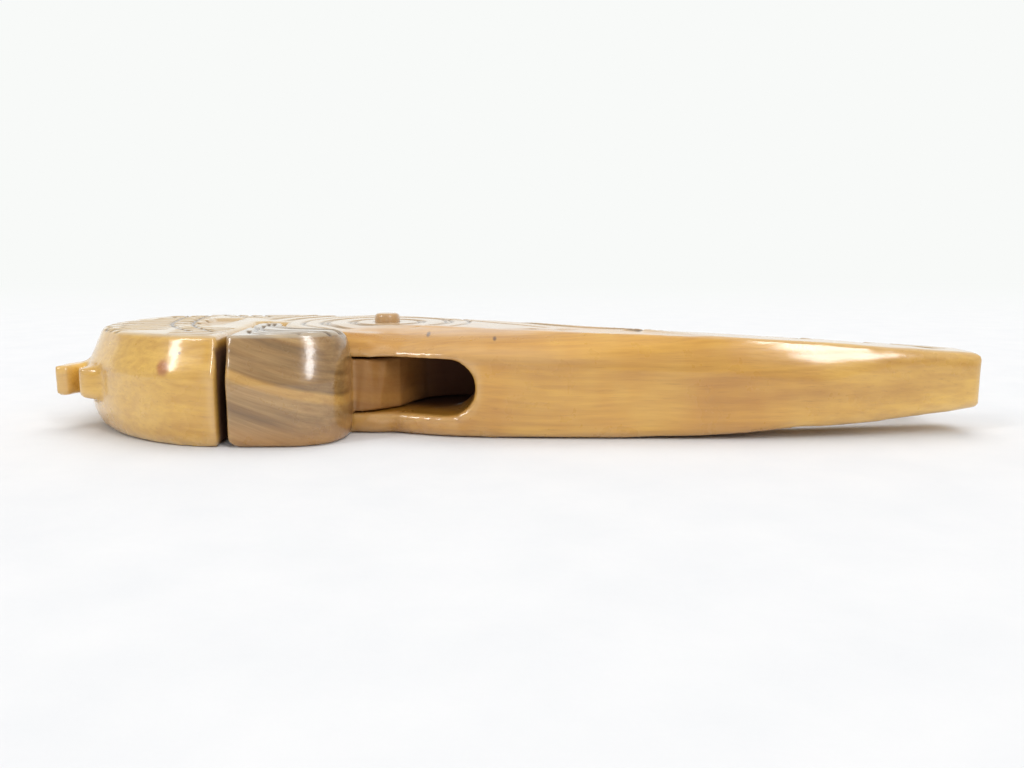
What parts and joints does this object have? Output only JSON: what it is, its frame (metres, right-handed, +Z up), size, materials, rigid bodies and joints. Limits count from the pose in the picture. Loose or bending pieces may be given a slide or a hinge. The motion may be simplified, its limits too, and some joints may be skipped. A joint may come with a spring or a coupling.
{
  "type": "lever nutcracker",
  "caption": "Carved wooden lever nutcracker lying on its side: a fixed animal-head body with a slotted cheek, and a jaw on a rear handle that turns on a dowel.",
  "frame": {"origin": "on the surface it lies on, under the middle of the whole object's box", "axes": "+X from the head towards the handle ends, -Y towards the mouth, +Z up through the carved side face and along the pivot"},
  "size_m": [0.211, 0.0676, 0.0257],
  "materials": {
    "blond_wood": "varnished, glossy, hand carved",
    "dark_wood": "varnished heartwood with darker streaks, glossy",
    "dowel": "varnished end grain"
  },
  "bodies": {
    "body": {"main_body": "blond_wood", "pivot_pin": "dowel"},
    "lever_arm": {"lever": "dark_wood"}
  },
  "joints": [
    {"name": "lever_pivot", "type": "hinge", "parent": "body", "child": "lever_arm", "pos_m": [-0.0313, 0.0055, 0.0115], "axis": [0, 0, 1], "range_deg": [-3, 23]}
  ]
}
